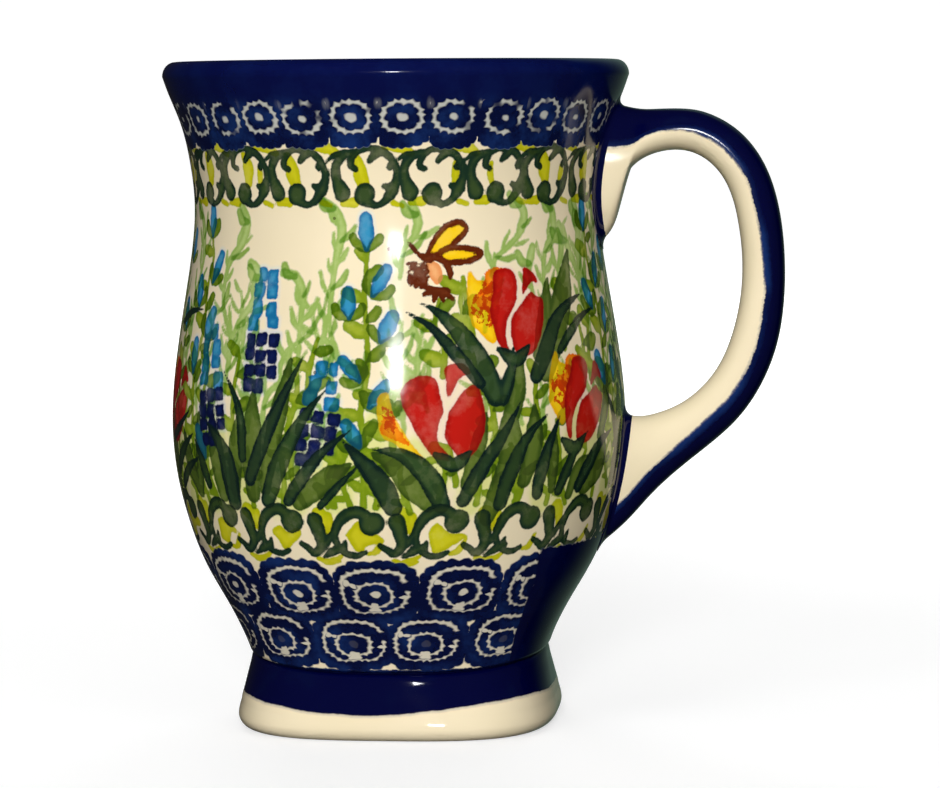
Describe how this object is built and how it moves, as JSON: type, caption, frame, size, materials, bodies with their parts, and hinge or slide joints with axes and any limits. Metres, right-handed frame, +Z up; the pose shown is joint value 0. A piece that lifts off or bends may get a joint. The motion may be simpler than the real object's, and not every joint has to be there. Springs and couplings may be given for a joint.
{
  "type": "footed mug",
  "caption": "Hand-painted stoneware mug with a bellied body, flared lip, rounded-square pedestal foot and a tall strap handle.",
  "frame": {"origin": "middle of the whole mug's footprint, handle included, on the plane it stands on", "axes": "+Z up through the mouth, +X from the vessel's axis towards the handle, +Y across the handle"},
  "size_m": [0.1202, 0.0902, 0.128],
  "materials": {
    "painted_glaze": "glossy clear glaze over hand-painted underglaze",
    "foot_glaze": "glossy clear glaze, bare standing ring",
    "waist_slip": "glossy cobalt",
    "handle_glaze": "glossy clear glaze, cobalt back",
    "upper_slip": "glossy cobalt",
    "lower_slip": "glossy cobalt"
  },
  "bodies": {
    "root": {"vessel": "painted_glaze", "pedestal_foot": "foot_glaze", "waist_slip_joint": "waist_slip", "handle": "handle_glaze", "upper_slip_joint": "upper_slip", "lower_slip_joint": "lower_slip"}
  },
  "joints": []
}
